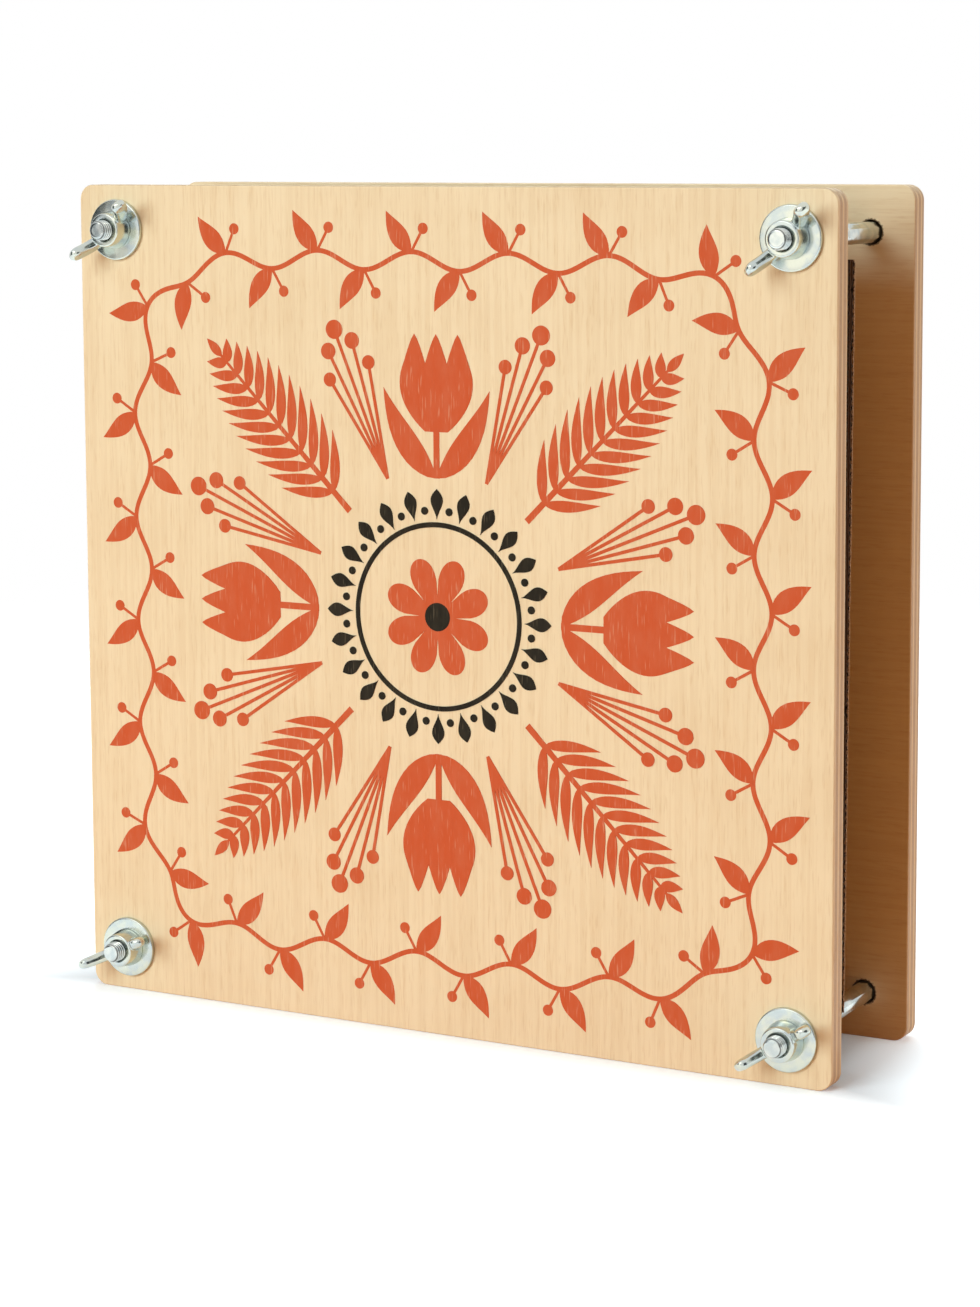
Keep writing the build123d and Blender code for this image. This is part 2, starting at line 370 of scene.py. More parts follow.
def plywood(name, wood, low, grain):
    """Birch plywood: five plies through the thickness, with every other one across the face's grain.

    grain is the axis that the face's fibres follow, and low the board's lowest corner. Depths are shares of
    the thickness, so that the crossed plies' middles lie one ply to each side of the board's middle.
    """
    graph = Graph(bpy.data.materials.new(name))
    place = graph.place()
    _, y, _ = graph.split(place)
    across = SIDEWAYS + UPRIGHT - grain
    ply = 1 / 5
    off_crossed = abs(abs((y - low.y) / BOARD_THICK - 0.5) - ply)
    blur, seam_core, seam_edge = 0.005, 0.004, 0.016
    crossed = off_crossed.rise(ply / 2 + blur, ply / 2 - blur)
    uncrossed = 1.0 - crossed
    seam = abs(off_crossed - ply / 2).rise(seam_edge, seam_core)
    face_depth, face_dashes = wood_face(graph, place, grain)
    cross_depth, cross_dashes = wood_face(graph, place, across)
    depth = face_depth * uncrossed + cross_depth * crossed
    tint = graph.mix(depth, wood.light, wood.dark)
    normal = graph.split(graph.add("ShaderNodeTexCoord", output="Normal"))
    cut = abs(normal[grain]) * uncrossed + abs(normal[across]) * crossed
    tint = graph.mix(cut.rise(0.3, 0.9) * 0.62, tint, wood.end_grain)
    tint = graph.mix(seam * 0.55, tint, wood.glue)
    cell = graph.add("ShaderNodeTexVoronoi", (), {"Vector": graph.stretched(place, 15.0), "Scale": 1.0})
    knot = cell.rise(0.013, 0.006)
    tint = graph.mix(knot * 0.6, tint, wood.end_grain)
    # Painted shade round each bolt hole: a ragged near-black ring, partly torn fibres and partly the shade
    # of the gap round the bolt.
    shaded_ring_inside, shaded_ring_outside, raggedness = 3.0 * MM, 3.35 * MM, 1.1 * MM
    ragged = (graph.noise(place, 1900.0) - 0.5) * raggedness
    torn = (off_bolt(graph, place) - ragged).rise(shaded_ring_outside, shaded_ring_inside)
    tint = graph.mix(torn * 0.85, tint, wood.torn)
    relief = face_dashes * uncrossed + cross_dashes * crossed - seam * 0.6 - torn * 0.8
    return graph.finish(
        Base_Color=tint, Roughness=0.40 + depth * 0.16 + torn * 0.3,
        Normal=graph.bump(relief, 0.05 * MM, 0.5), Specular_IOR_Level=0.35)


def printed_ink(name, tint, wood, bare):
    """Ink on birch: its cover is uneven, and the wood's dashes show through as pores, bare to some share."""
    graph = Graph(bpy.data.materials.new(name))
    place = graph.place()
    depth, dashes = wood_face(graph, place, UPRIGHT)
    pores = dashes.rise(0.62, 0.76) * bare
    cloudy = graph.noise(place, (420.0, 420.0, 160.0), 3.0).rise(0.35, 0.75)
    thin = graph.mix((cloudy * 0.17 + depth * 0.10) * bare, tint, wood.light)
    return graph.finish(
        Base_Color=graph.mix(pores, thin, wood.light), Roughness=0.36 + dashes * 0.2,
        Normal=graph.bump(dashes, 0.05 * MM, 0.5), Specular_IOR_Level=0.14)


def zinc(name, cool, warm, matt, oil=(), threads=()):
    """Bright zinc plate: faint cool and warm clouds, soft waves in the steel and a little haze on it.

    threads, if any, are their crests' radius and where they begin and end. A painted shade darkens their
    grooves, standing for the shade in them.
    """
    graph = Graph(bpy.data.materials.new(name))
    place = graph.place()
    clouds = graph.noise(place, 260.0)
    waves = graph.noise(place, 230.0, 1.0)
    haze = graph.noise(place, 1500.0)
    tint = graph.mix(clouds.rise(0.35, 0.65), cool, warm)
    if threads:
        crest, begin, end = threads
        # Painted shade in the thread grooves: their roots are darkened as if by their own shadow.
        fade, unshaded_depth, shade_depth = 0.2 * MM, 0.04 * MM, 0.34 * MM
        _, y, _ = graph.split(place)
        groove = off_bolt(graph, place).rise(crest - unshaded_depth, crest - shade_depth)
        threaded = y.rise(begin, begin + fade) * y.rise(end, end - fade)
        tint = graph.mix(groove * threaded * 0.8, tint, oil)
    return graph.finish(
        Base_Color=tint, Roughness=matt + haze * 0.07, Metallic=1.0,
        Normal=graph.bump(waves + haze * 0.03, 0.10 * MM))


def axis_of(node):
    """The middle of a node's box, as (across, up)."""
    low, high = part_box(node)
    return (low.x + high.x) / 2, (low.z + high.z) / 2


def sheet_place(node, sheets):
    """A sheet's middle, as (across, up), and the half side of its square before it is hung askew.

    A square of half side h with notch lines at n, turned by s, fills h cos s + n sin s to each side, which
    gives h.
    """
    low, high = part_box(node)
    line = BOLT_REACH - sheets.notch_reach
    half = ((high.x - low.x) / 2 - line * math.sin(sheets.skew)) / math.cos(sheets.skew)
    return axis_of(node), half


def kraft(name, sheets, face, edge):
    """Kraft paper: long fibres and specks, quite matt, with painted shade along the cut side edges and a
    painted highlight on the last liner's cut edge.
    """
    graph = Graph(bpy.data.materials.new(name))
    place = graph.place()
    fibre = graph.noise(place, (380.0, 1500.0, 1500.0), 4.0, 0.65)
    speck = graph.noise(place, 2400.0, 1.0)
    ribs = graph.noise(place, (14.0, 14.0, 260.0))
    shade = fibre.rise(0.35, 0.75) * 0.5 + speck.rise(0.62, 0.75) * 0.35 + ribs.rise(0.4, 0.7) * 0.15
    (middle_x, middle_z), half = sheet_place(CARDS[0], sheets)
    x, y, z = graph.split(place)
    across = (x - middle_x) * math.cos(sheets.skew) - (z - middle_z) * math.sin(sheets.skew)
    # The side edges get the edge colour, which is painted shade.
    cut = abs(across).rise(half - 0.50 * MM, half - 0.30 * MM)
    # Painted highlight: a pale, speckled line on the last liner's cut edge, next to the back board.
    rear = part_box(CARDS[-1])[1].y - sheets.liner
    pale = y.rise(rear - 0.12 * MM, rear - 0.10 * MM) * (0.35 + 0.65 * speck.rise(0.35, 0.60))
    rim = graph.mix(pale, edge, sheets.kraft_pale)
    darker = [part * 0.45 for part in face]
    return graph.finish(
        Base_Color=graph.mix(cut, graph.mix(shade, face, darker), rim), Roughness=0.82 + speck * 0.12,
        Normal=graph.bump(fibre, 0.06 * MM, 0.6), Specular_IOR_Level=0.2)


def soft_paper(name, sheets):
    """Blotting paper: a soft felt of short fibres."""
    graph = Graph(bpy.data.materials.new(name))
    place = graph.place()
    felt = graph.noise(place, 1300.0, 4.0, 0.7)
    cloud = graph.noise(place, 60.0)
    grey = [part * 0.82 for part in sheets.paper]
    return graph.finish(
        Base_Color=graph.mix(felt.rise(0.35, 0.75) * 0.6 + cloud * 0.2, sheets.paper, grey),
        Roughness=0.9 + felt * 0.08, Normal=graph.bump(felt, 0.08 * MM, 0.6), Specular_IOR_Level=0.15)


# Surfaces


def quads(rows, columns, wrap_rows=False, wrap_columns=False):
    """Corner numbers of a grid's quads, row by row; a wrapped direction joins its last line to its first."""
    row = np.arange(rows if wrap_rows else rows - 1)[:, None]
    column = np.arange(columns if wrap_columns else columns - 1)[None, :]
    next_row = (row + 1) % rows
    next_column = (column + 1) % columns
    corners = (row * columns + column, row * columns + next_column,
               next_row * columns + next_column, next_row * columns + column)
    return np.stack([np.broadcast_to(c, (row.size, column.size)) for c in corners], -1).reshape(-1, 4)


def grid_part(points, wrap_rows=False, wrap_columns=False):
    """A grid of points as (points, quads)."""
    rows, columns = points.shape[:2]
    return points.reshape(-1, 3), quads(rows, columns, wrap_rows, wrap_columns)


def film_part(face, front_y, back_y, wrap=False):
    """A thin closed film over a grid of (across, up) points: the grid at two depths, with a wall round it.

    The wall comes from carrying the grid's border from one depth to the other. With wrap the columns close
    on themselves, the first row is a centre and only the last row has a wall.
    """
    rows, columns = face.shape[:2]
    count = rows * columns
    spread = face.reshape(count, 2)
    points = np.concatenate([np.insert(spread, 1, depth, axis=1) for depth in (front_y, back_y)])
    layer = quads(rows, columns, wrap_columns=wrap)
    number = np.arange(count).reshape(rows, columns)
    if wrap:
        border = np.append(number[-1], number[-1, 0])
    else:
        border = np.concatenate([number[0], number[1:, -1], number[-1, -2::-1], number[-2::-1, 0]])
    start, end = border[:-1], border[1:]
    wall = np.stack([start, end, end + count, start + count], -1)
    return points, np.concatenate([layer, layer[:, ::-1] + count, wall])


def make_mesh(name, parts):
    """One mesh of several closed parts, with poles and seams merged and every face turned outwards."""
    offsets = np.cumsum([0] + [len(points) for points, _ in parts[:-1]])
    points = np.concatenate([points for points, _ in parts])
    faces = np.concatenate([faces + offset for (_, faces), offset in zip(parts, offsets)])
    mesh = bpy.data.meshes.new(name)
    mesh.from_pydata(points.tolist(), [], faces.tolist())
    work = bmesh.new()
    work.from_mesh(mesh)
    bmesh.ops.remove_doubles(work, verts=work.verts, dist=HAIR)
    bmesh.ops.dissolve_degenerate(work, edges=work.edges, dist=HAIR / 10)
    bmesh.ops.recalc_face_normals(work, faces=work.faces)
    work.to_mesh(mesh)
    work.free()
    return mesh


def shade_turned(mesh):
    """Smooth shading for turned and stamped metal, with every sharper edge kept crisp."""
    crisp_degrees = 40
    mesh.shade_smooth()
    mesh.set_sharp_from_angle(angle=math.radians(crisp_degrees))


def add_piece(name, mesh, material, body, replaced=()):
    """Links a finished mesh as a piece that rides on a body."""
    piece = bpy.data.objects.new(name, mesh)
    bpy.context.scene.collection.objects.link(piece)
    mesh.materials.append(material)
    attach(piece, body)
    if replaced:
        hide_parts(*replaced)
    return piece


def unit(vectors):
    """Directions: rows scaled to a length of 1."""
    return vectors / np.linalg.norm(vectors, axis=-1, keepdims=True)


def to_right(slope):
    """Directions in a plane, each turned by a quarter to its right."""
    return np.stack([slope[..., 1], -slope[..., 0]], -1)


def signed_power(values, power):
    """Sizes raised to a power, with their signs kept, which squares a circle's cosine and sine."""
    return np.sign(values) * np.abs(values) ** power


def swung(x, z, turn):
    """Points turned about an axis, from +X towards +Z."""
    return x * math.cos(turn) - z * math.sin(turn), x * math.sin(turn) + z * math.cos(turn)


def full_turn(count):
    """A row of evenly spaced angles round an axis."""
    return np.linspace(0, TURN, count, endpoint=False)[None, :]


def rounded(points, radii, steps=5):
    """A closed outline with each corner replaced by an arc that touches both of its sides.

    At a corner of half angle h the arc of radius r starts r / tan(h) from it, and its centre lies on the
    bisector.
    """
    corner = np.array(points, float)
    before = unit(np.roll(corner, 1, 0) - corner)
    after = unit(np.roll(corner, -1, 0) - corner)
    half = np.arccos(np.clip((before * after).sum(1, keepdims=True), -1, 1)) / 2
    radius = np.array(radii, float)[:, None]
    centre = corner + unit(before + after) * radius / np.sin(half)
    start = corner + before * radius / np.tan(half) - centre
    end = corner + after * radius / np.tan(half) - centre
    share = np.linspace(0, 1, steps)[None, :, None]
    turn = (np.pi - 2 * half)[:, None]
    arc = (np.sin((1 - share) * turn) * start[:, None] + np.sin(share * turn) * end[:, None]) / np.sin(turn)
    return (centre[:, None] + arc).reshape(-1, 2)


# Hardware


def about_axis(radius, depth, turn, axis):
    """Points round a bolt's axis: turn runs from +Z towards +X, which tightens a nut."""
    x = axis[0] + radius * np.sin(turn)
    z = axis[1] + radius * np.cos(turn)
    return np.stack(np.broadcast_arrays(x, depth, z), -1)


def lathe(section, turn, axis):
    """A section of (radius, depth) points carried round a bolt's axis."""
    return about_axis(section[:, :1], section[:, 1:], turn, axis)


def thread_height(depth, turn, pitch):
    """Height of a right-hand thread from 0 at its root to 1 at its crest.

    The helix climbs one pitch along +Y for each turn. Over a pitch the height is a triangle wave whose top
    and bottom are cut off, which leaves the flat crest and the wider flat root of a metric thread.
    """
    steepness, cut_off = 3.1, 0.33
    phase = np.mod(depth / pitch - turn / TURN, 1.0)
    return np.clip(np.abs(phase - 0.5) * steepness - cut_off, 0.0, 1.0)


def bolt_mesh(name, metal, corner):
    """A carriage bolt as one surface: rows run from the head's crown to the tip, columns round the axis.

    Each row has a depth and a radius. The neck's radius is that of a rounded square, and the thread's radius
    follows the helix, fading out at the shank and cut by a cone at the tip.
    """
    low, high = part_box(f"bolt_{corner}")
    axis = axis_of(f"bolt_{corner}")
    seat_y, tip_y = BACK_HIGH.y, low.y
    neck_end = seat_y - metal.neck_length
    thread_end = tip_y + metal.thread_length
    turn = full_turn(64)
    head_radius = (high.x - low.x) / 2
    crown = high.y - seat_y - metal.head_rim
    sphere = (head_radius**2 + crown**2) / (2 * crown)
    bow = np.linspace(0, math.asin(head_radius / sphere), 14)
    dome = np.stack([sphere * np.sin(bow), high.y - sphere * (1 - np.cos(bow))], 1)
    rim = [(head_radius, seat_y + metal.head_rim * 0.25), (head_radius - 0.15 * MM, seat_y)]
    shank = metal.shank_diameter / 2
    power = 14
    square = shank / (np.abs(np.sin(turn)) ** power + np.abs(np.cos(turn)) ** power) ** (1 / power)
    neck_depth = np.array([seat_y, neck_end + 0.4 * MM])[:, None]
    plain = np.array([(shank, neck_end), (shank, thread_end + 0.2 * MM)])
    crest = metal.bolt_diameter / 2
    rows_per_pitch, fading_pitches = 14, 2.5
    depth = np.linspace(thread_end, tip_y, int(metal.thread_length / metal.pitch * rows_per_pitch))[:, None]
    groove = metal.thread_depth * np.clip((thread_end - depth) / (fading_pitches * metal.pitch), 0, 1)
    thread = crest - groove * (1 - thread_height(depth, turn, metal.pitch))
    cone = crest - metal.thread_depth * 1.15 + (depth - tip_y) * 1.2
    face = np.array([(share * (crest - metal.thread_depth), tip_y) for share in (0.72, 0.4, 0.0)])
    rows = [
        lathe(np.concatenate([dome, rim]), turn, axis),
        about_axis(square, neck_depth, turn, axis),
        lathe(plain, turn, axis),
        about_axis(np.minimum(thread, cone), depth, turn, axis),
        lathe(face, turn, axis),
    ]
    mesh = make_mesh(name, [grid_part(np.concatenate(rows), wrap_columns=True)])
    shade_turned(mesh)
    return mesh


def washer_mesh(name, metal, corner):
    """A stamped washer: a section with a rolled outer edge in front, carried round the bolt's axis."""
    low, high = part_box(f"washer_{corner}")
    inner = metal.washer_bore / 2
    outer = (high.x - low.x) / 2
    section = rounded(
        [(inner, low.y), (outer, low.y), (outer, high.y), (inner, high.y)],
        [0.22 * MM, 0.42 * MM, 0.12 * MM, 0.12 * MM], 6)
    ring = lathe(section, full_turn(96), axis_of(f"washer_{corner}"))
    mesh = make_mesh(name, [grid_part(ring, True, True)])
    shade_turned(mesh)
    return mesh


def hub_part(metal):
    """A nut's hub, washer face at depth 0: a softened cone outside and a threaded bore inside, in a ring."""
    base = metal.hub_base / 2
    top = metal.hub_top / 2
    height = metal.hub_height
    bore = metal.bolt_diameter / 2 + 0.05 * MM
    lead = metal.thread_depth / 2
    outside = rounded(
        [(bore + lead, 0), (base, 0), (base, -0.7 * MM), (top + 0.15 * MM, -height), (bore + lead, -height)],
        [0.05 * MM, 0.25 * MM, 0.3 * MM, 0.35 * MM, 0.2 * MM])
    inside_rows = 48
    inside = np.stack([np.full(inside_rows, bore), np.linspace(-height + lead, -lead, inside_rows)], 1)
    section = np.concatenate([outside, inside])
    turn = full_turn(96)
    radius = np.repeat(section[:, :1], turn.size, axis=1)
    depth = section[:, 1:]
    threaded = slice(len(outside), None)
    radius[threaded] += metal.thread_depth * 0.6 * (thread_height(depth[threaded], turn, metal.pitch) - 0.5)
    return grid_part(about_axis(radius, depth, turn, (0, 0)), True, True)


def wing_part(metal, side):
    """One wing, as a rounded bar carried along a bent path from inside the hub to the tip.

    The path is a quadratic curve in the plane of the axis. The section is a squared oval, and both of its
    half sizes close on a blunt end over the last part of the path.
    """
    blunt, closing_power, section_power = 0.18, 2.4, 2 / 2.7
    end_shares = 1 - blunt * np.cos(np.linspace(0.08, 1, 16) * np.pi / 2)
    share = np.concatenate([np.linspace(0, 1 - blunt, 24), end_shares])[:, None]
    start = np.array([2.9 * MM, -1.9 * MM])
    bend = np.array([6.1 * MM, -2.5 * MM])
    tip = (metal.wing_reach, -metal.nut_height)
    end = np.array([tip[0] - metal.wing_breadth * 0.28, tip[1] + metal.wing_breadth * 0.10])
    path = (1 - share) ** 2 * start + 2 * share * (1 - share) * bend + share**2 * end
    across = -to_right(unit(2 * (1 - share) * (bend - start) + 2 * share * (end - bend)))
    past = np.clip(share - 1 + blunt, 0, 1) / blunt
    closing = np.clip(1 - past**closing_power, 0, 1) ** (1 / closing_power)
    breadth = (metal.wing_breadth / 2) * (0.72 + 0.28 * share) * closing
    thick = (metal.wing_thickness / 2) * (1.08 - 0.12 * share) * closing
    around = full_turn(40)
    wide = signed_power(np.cos(around), section_power) * breadth
    deep = signed_power(np.sin(around), section_power) * thick
    x = side * (path[:, :1] + across[:, :1] * wide)
    y = path[:, 1:] + across[:, 1:] * wide
    body = np.stack([x, y, deep], -1)
    first, last = (np.repeat(row.mean(1, keepdims=True), around.size, 1) for row in (body[:1], body[-1:]))
    return grid_part(np.concatenate([first, body, last]), wrap_columns=True)


def points_of(mesh):
    """A mesh's points, one to a row."""
    points = np.empty(len(mesh.vertices) * 3)
    mesh.vertices.foreach_get("co", points)
    return points.reshape(-1, 3)


def cast_nut(metal):
    """A wing nut in one skin, on the Y axis with its washer face at depth 0 and its wings along X.

    The hub and the wings are closed surfaces that cross. A fine voxel skin of quads joins them, and a few
    rounds of smoothing soften the joints as casting does. Returns (points, faces).
    """
    mesh = make_mesh("nut_blank", [hub_part(metal), wing_part(metal, 1), wing_part(metal, -1)])
    blank = bpy.data.objects.new("nut_blank", mesh)
    bpy.context.scene.collection.objects.link(blank)
    skin = blank.modifiers.new("skin", "REMESH")
    skin.mode = "VOXEL"
    skin.voxel_size = 0.14 * MM
    soften = blank.modifiers.new("soften", "SMOOTH")
    soften.factor = 0.5
    soften.iterations = 5
    finished = bpy.data.meshes.new_from_object(blank.evaluated_get(bpy.context.evaluated_depsgraph_get()))
    points = points_of(finished)
    faces = np.empty(len(finished.loops), np.int32)
    finished.loops.foreach_get("vertex_index", faces)
    bpy.data.objects.remove(blank)
    bpy.data.meshes.remove(mesh)
    bpy.data.meshes.remove(finished)
    return points, faces.reshape(-1, 4)


def nut_mesh(name, blank, corner):
    """A copy of the cast nut at its bolt, turned as its CAD node is.

    The node's two wing tips are its points farthest from the axis, and their direction gives the turn.
    """
    across, up = axis_of(f"washer_{corner}")
    seat = np.array([across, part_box(f"washer_{corner}")[0].y, up])
    out = points_of(NODES[f"wing_nut_{corner}"].data)[:, ::2] - seat[::2]
    far = np.linalg.norm(out, axis=1)
    tip_zone = 0.4 * MM
    tips = out[far > far.max() - tip_zone]
    tip = tips[tips[:, 0] > 0].mean(0)
    points, faces = blank
    x, z = swung(points[:, 0], points[:, 2], math.atan2(tip[1], tip[0]))
    mesh = bpy.data.meshes.new(name)
    mesh.from_pydata((np.stack([x, points[:, 1], z], 1) + seat).tolist(), [], faces.tolist())
    mesh.shade_smooth()
    return mesh


# Sheets


def sheet_part(node, sheets, depth_of, step, seed, recess=0.0):
    """An open sheet with a notch at each corner: a grid of (across, up) whose depth depends on the height.

    The columns stand at the notches and the edges, and the cells in the corners are left out. The side edges
    wander a little and have a few deeper nicks, as handled card does. The sheet then hangs as askew as its
    node.
    """
    middle, half = sheet_place(node, sheets)
    half -= recess
    line = BOLT_REACH - sheets.notch_reach
    random = np.random.default_rng(seed)
    x = np.array([-half, -(half + line) / 2, -line, 0.0, line, (half + line) / 2, half])
    z = np.unique(np.concatenate([np.linspace(-half, half, int(2 * half / step)), [-line, line]]))
    across, up = np.meshgrid(x, z)
    nick_count = 4
    for column, inward in ((0, 1), (-1, -1)):
        wander = sheets.fray * np.abs(random.normal(0, 0.5, z.size)).clip(0, 1.6)
        nicks = random.uniform(-half, half, nick_count)[:, None]
        depths = sheets.nick * random.uniform(0, 1, nick_count)[:, None] ** 2
        wander += (depths * np.exp(-(((z - nicks) / sheets.nick) ** 2))).max(0)
        across[:, column] += inward * wander
    hung_x, hung_z = swung(across, up, -sheets.skew)
    depth = np.broadcast_to(depth_of(z)[:, None], across.shape)
    points = np.stack([hung_x + middle[0], depth, hung_z + middle[1]], -1)
    faces = quads(z.size, x.size).reshape(z.size - 1, x.size - 1, 4)
    inside_z = (z[:-1] > -line - HAIR) & (z[1:] < line + HAIR)
    inside_x = (x[:-1] > -line - HAIR) & (x[1:] < line + HAIR)
    return points.reshape(-1, 3), faces[inside_z[:, None] | inside_x[None, :]]


def flat(depth):
    """A sheet's depth as a function of the height, for a sheet that is flat."""
    return lambda z: np.full(z.size, depth)


def wavy(middle, swing, pitch, shift):
    """The same for a fluted sheet: a sine wave about its middle."""
    return lambda z: middle + swing * np.sin(TURN * z / pitch + shift)


def solid_sheet(name, parts, thickness, material, body, replaced=()):
    """A piece of one or more sheets, each given its thickness on both sides of its middle."""
    mesh = make_mesh(name, parts)
    piece = add_piece(name, mesh, material, body, replaced)
    wall = piece.modifiers.new("thickness", "SOLIDIFY")
    wall.thickness = thickness
    wall.offset = 0.0
    wall.use_even_offset = True
    return piece


# Operators for the boards, the hardware and the sheets


class FLOWER_PRESS_OT_boards(bpy.types.Operator):
    """Finish the two plywood boards: face grain up and down in front and sideways at the back"""

    bl_idname = "flower_press.boards"
    bl_label = "Boards"

    def execute(self, context):
        wood = context.scene.flower_press.wood
        for node, low, grain in (("front_board", FRONT_LOW, UPRIGHT), ("back_board", BACK_LOW, SIDEWAYS)):
            mesh = NODES[node].data
            mesh.materials.clear()
            mesh.materials.append(plywood(f"birch_{node}", wood, low, grain))
        return {"FINISHED"}


class FLOWER_PRESS_OT_bolts(bpy.types.Operator):
    """Make the four carriage bolts with their threads"""

    bl_idname = "flower_press.bolts"
    bl_label = "Bolts"

    def execute(self, context):
        metal = context.scene.flower_press.metal
        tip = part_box(f"bolt_{CORNERS[0]}")[0].y
        threads = (metal.bolt_diameter / 2, tip, tip + metal.thread_length)
        plate = zinc("zinc_bolt", metal.cool, metal.fresh, 0.13, metal.oil, threads)
        for corner in CORNERS:
            name = f"carriage_bolt_{corner}"
            mesh = bolt_mesh(name, metal, corner)
            add_piece(name, mesh, plate, "back_frame", [f"bolt_{corner}"])
        return {"FINISHED"}


class FLOWER_PRESS_OT_washers(bpy.types.Operator):
    """Make the four stamped washers"""

    bl_idname = "flower_press.washers"
    bl_label = "Washers"

    def execute(self, context):
        metal = context.scene.flower_press.metal
        plate = zinc("zinc_washer", metal.cool, metal.warm, 0.16)
        for corner in CORNERS:
            node = f"washer_{corner}"
            name = f"stamped_{node}"
            add_piece(name, washer_mesh(name, metal, corner), plate, node, [node])
        return {"FINISHED"}


class FLOWER_PRESS_OT_wing_nuts(bpy.types.Operator):
    """Make the four wing nuts"""

    bl_idname = "flower_press.wing_nuts"
    bl_label = "Wing nuts"

    def execute(self, context):
        metal = context.scene.flower_press.metal
        plate = zinc("zinc_nut", metal.cool, metal.warm, 0.12)
        blank = cast_nut(metal)
        for corner in CORNERS:
            node = f"wing_nut_{corner}"
            name = f"cast_{node}"
            add_piece(name, nut_mesh(name, blank, corner), plate, node, [node])
        return {"FINISHED"}


class FLOWER_PRESS_OT_cards(bpy.types.Operator):
    """Make the corrugated cards: two liners and a wavy sheet between them"""

    bl_idname = "flower_press.cards"
    bl_label = "Cards"

    def execute(self, context):
        sheets = context.scene.flower_press.sheets
        liner = kraft("kraft_liner", sheets, sheets.kraft, sheets.kraft_cut)
        # The flutes' near-black colour is painted shade.
        fluting = kraft("kraft_fluting", sheets, sheets.fluting, sheets.fluting)
        pitch = sheets.flute_pitch
        half_wall = sheets.liner / 2
        bite, steps_per_flute, shift_per_card = 0.02 * MM, 12, 1.9
        for number, node in enumerate(CARDS):
            low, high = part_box(node)
            swing = (high.y - low.y) / 2 - 1.5 * sheets.liner + bite
            flutes = wavy((low.y + high.y) / 2, swing, pitch, number * shift_per_card)
            seed = 3 * number + 1
            liners = [
                sheet_part(node, sheets, flat(low.y + half_wall), MM, seed),
                sheet_part(node, sheets, flat(high.y - half_wall), MM, seed + 2),
            ]
            wave = sheet_part(node, sheets, flutes, pitch / steps_per_flute, seed + 1, sheets.recess)
            solid_sheet(f"liners_{node}", liners, sheets.liner, liner, node, [node])
            solid_sheet(f"fluting_{node}", [wave], sheets.liner, fluting, node)
        return {"FINISHED"}


class FLOWER_PRESS_OT_blotters(bpy.types.Operator):
    """Make the blotting papers between the cards"""

    bl_idname = "flower_press.blotters"
    bl_label = "Blotting papers"

    def execute(self, context):
        sheets = context.scene.flower_press.sheets
        paper = soft_paper("blotting_felt", sheets)
        for number, node in enumerate(BLOTTERS):
            low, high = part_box(node)
            part = sheet_part(node, sheets, flat((low.y + high.y) / 2), MM, 100 + number)
            thickness = high.y - low.y - sheets.slack
            solid_sheet(f"soft_{node}", [part], thickness, paper, node, [node])
        return {"FINISHED"}


# The print


def direction(turn):
    """The directions of angles on the printed face, from its right towards its top."""
    return np.stack([np.cos(turn), np.sin(turn)], -1)


def heading(degrees):
    """The direction of one angle in degrees."""
    return direction(math.radians(degrees))


def straight(start, end, count):
    """Evenly spaced points from start to end."""
    return np.linspace(0, 1, count)[:, None] * (end - start) + start


def leaf(base, degrees, size, width, bend=0.0, power=0.8):
    """A pointed blade, as a motif: a grid of points on the face, and whether its columns close in a ring.

    Half width is width/2 * sin(pi * s^power) along a midrib that bends sideways with s squared.
    """
    share = np.linspace(0, 1, 13)[:, None]
    along = heading(degrees)
    aside = to_right(along)
    midrib = np.asarray(base) + share * size * along + share**2 * bend * size * aside
    across = to_right(unit(size * along + 2 * share * bend * size * aside))
    half = width / 2 * np.sin(np.pi * share**power)
    side = np.linspace(-1, 1, 5)[None, :]
    return midrib[:, None] + across[:, None] * (half * side)[:, :, None], False


def ribbon(path, width):
    """A stem, as a motif: a path with a width, which may change along it."""
    across = to_right(unit(np.gradient(path, axis=0)))
    half = np.broadcast_to(width, len(path))[:, None, None] / 2
    return path[:, None] + across[:, None] * np.array([-1.0, 1.0])[None, :, None] * half, False


def rose(centre, degrees, radius_of, columns):
    """A round motif: its radius is a function of the angle, measured from the motif's own heading."""
    turn = full_turn(columns)[0]
    rim = direction(turn + math.radians(degrees)) * radius_of(turn)[:, None]
    return np.asarray(centre) + np.linspace(0, 1, 4)[:, None, None] * rim[None], True


def dot(centre, radius):
    """A round berry, as a motif."""
    return rose(centre, 0, lambda turn: np.full(turn.size, radius), 32)


def tulip_cup(base, degrees, height):
    """A tulip's cup, as a motif: its width swells and closes with height, and its top has three points."""
    share = np.linspace(0, 1, 15)[:, None]
    side = np.linspace(-1, 1, 25)[None, :]
    half = height * 0.43 * np.sin(np.pi * (0.06 + 0.62 * share)) ** 0.7
    point = np.abs(np.mod(side * 1.5 + 0.5, 1.0) - 0.5) * 2
    top = height * (1.0 - 0.30 * point**1.3)
    along = heading(degrees)
    cup = (share * top)[:, :, None] * along + (half * side)[:, :, None] * to_right(along)
    return np.asarray(base) + cup, False


def square_path(half, power, count):
    """Evenly spaced points on a rounded square, |x|^power + |z|^power = half^power, and their normals."""
    raw = half * signed_power(direction(np.linspace(0, TURN, 4001)), 2 / power)
    run = np.concatenate([[0], np.cumsum(np.linalg.norm(np.diff(raw, axis=0), axis=1))])
    at = np.linspace(0, run[-1], count + 1)
    path = np.stack([np.interp(at, run, raw[:, 0]), np.interp(at, run, raw[:, 1])], 1)
    slope = np.roll(path[:-1], -1, 0) - np.roll(path[:-1], 1, 0)
    return path, to_right(unit(np.concatenate([slope, slope[:1]])))


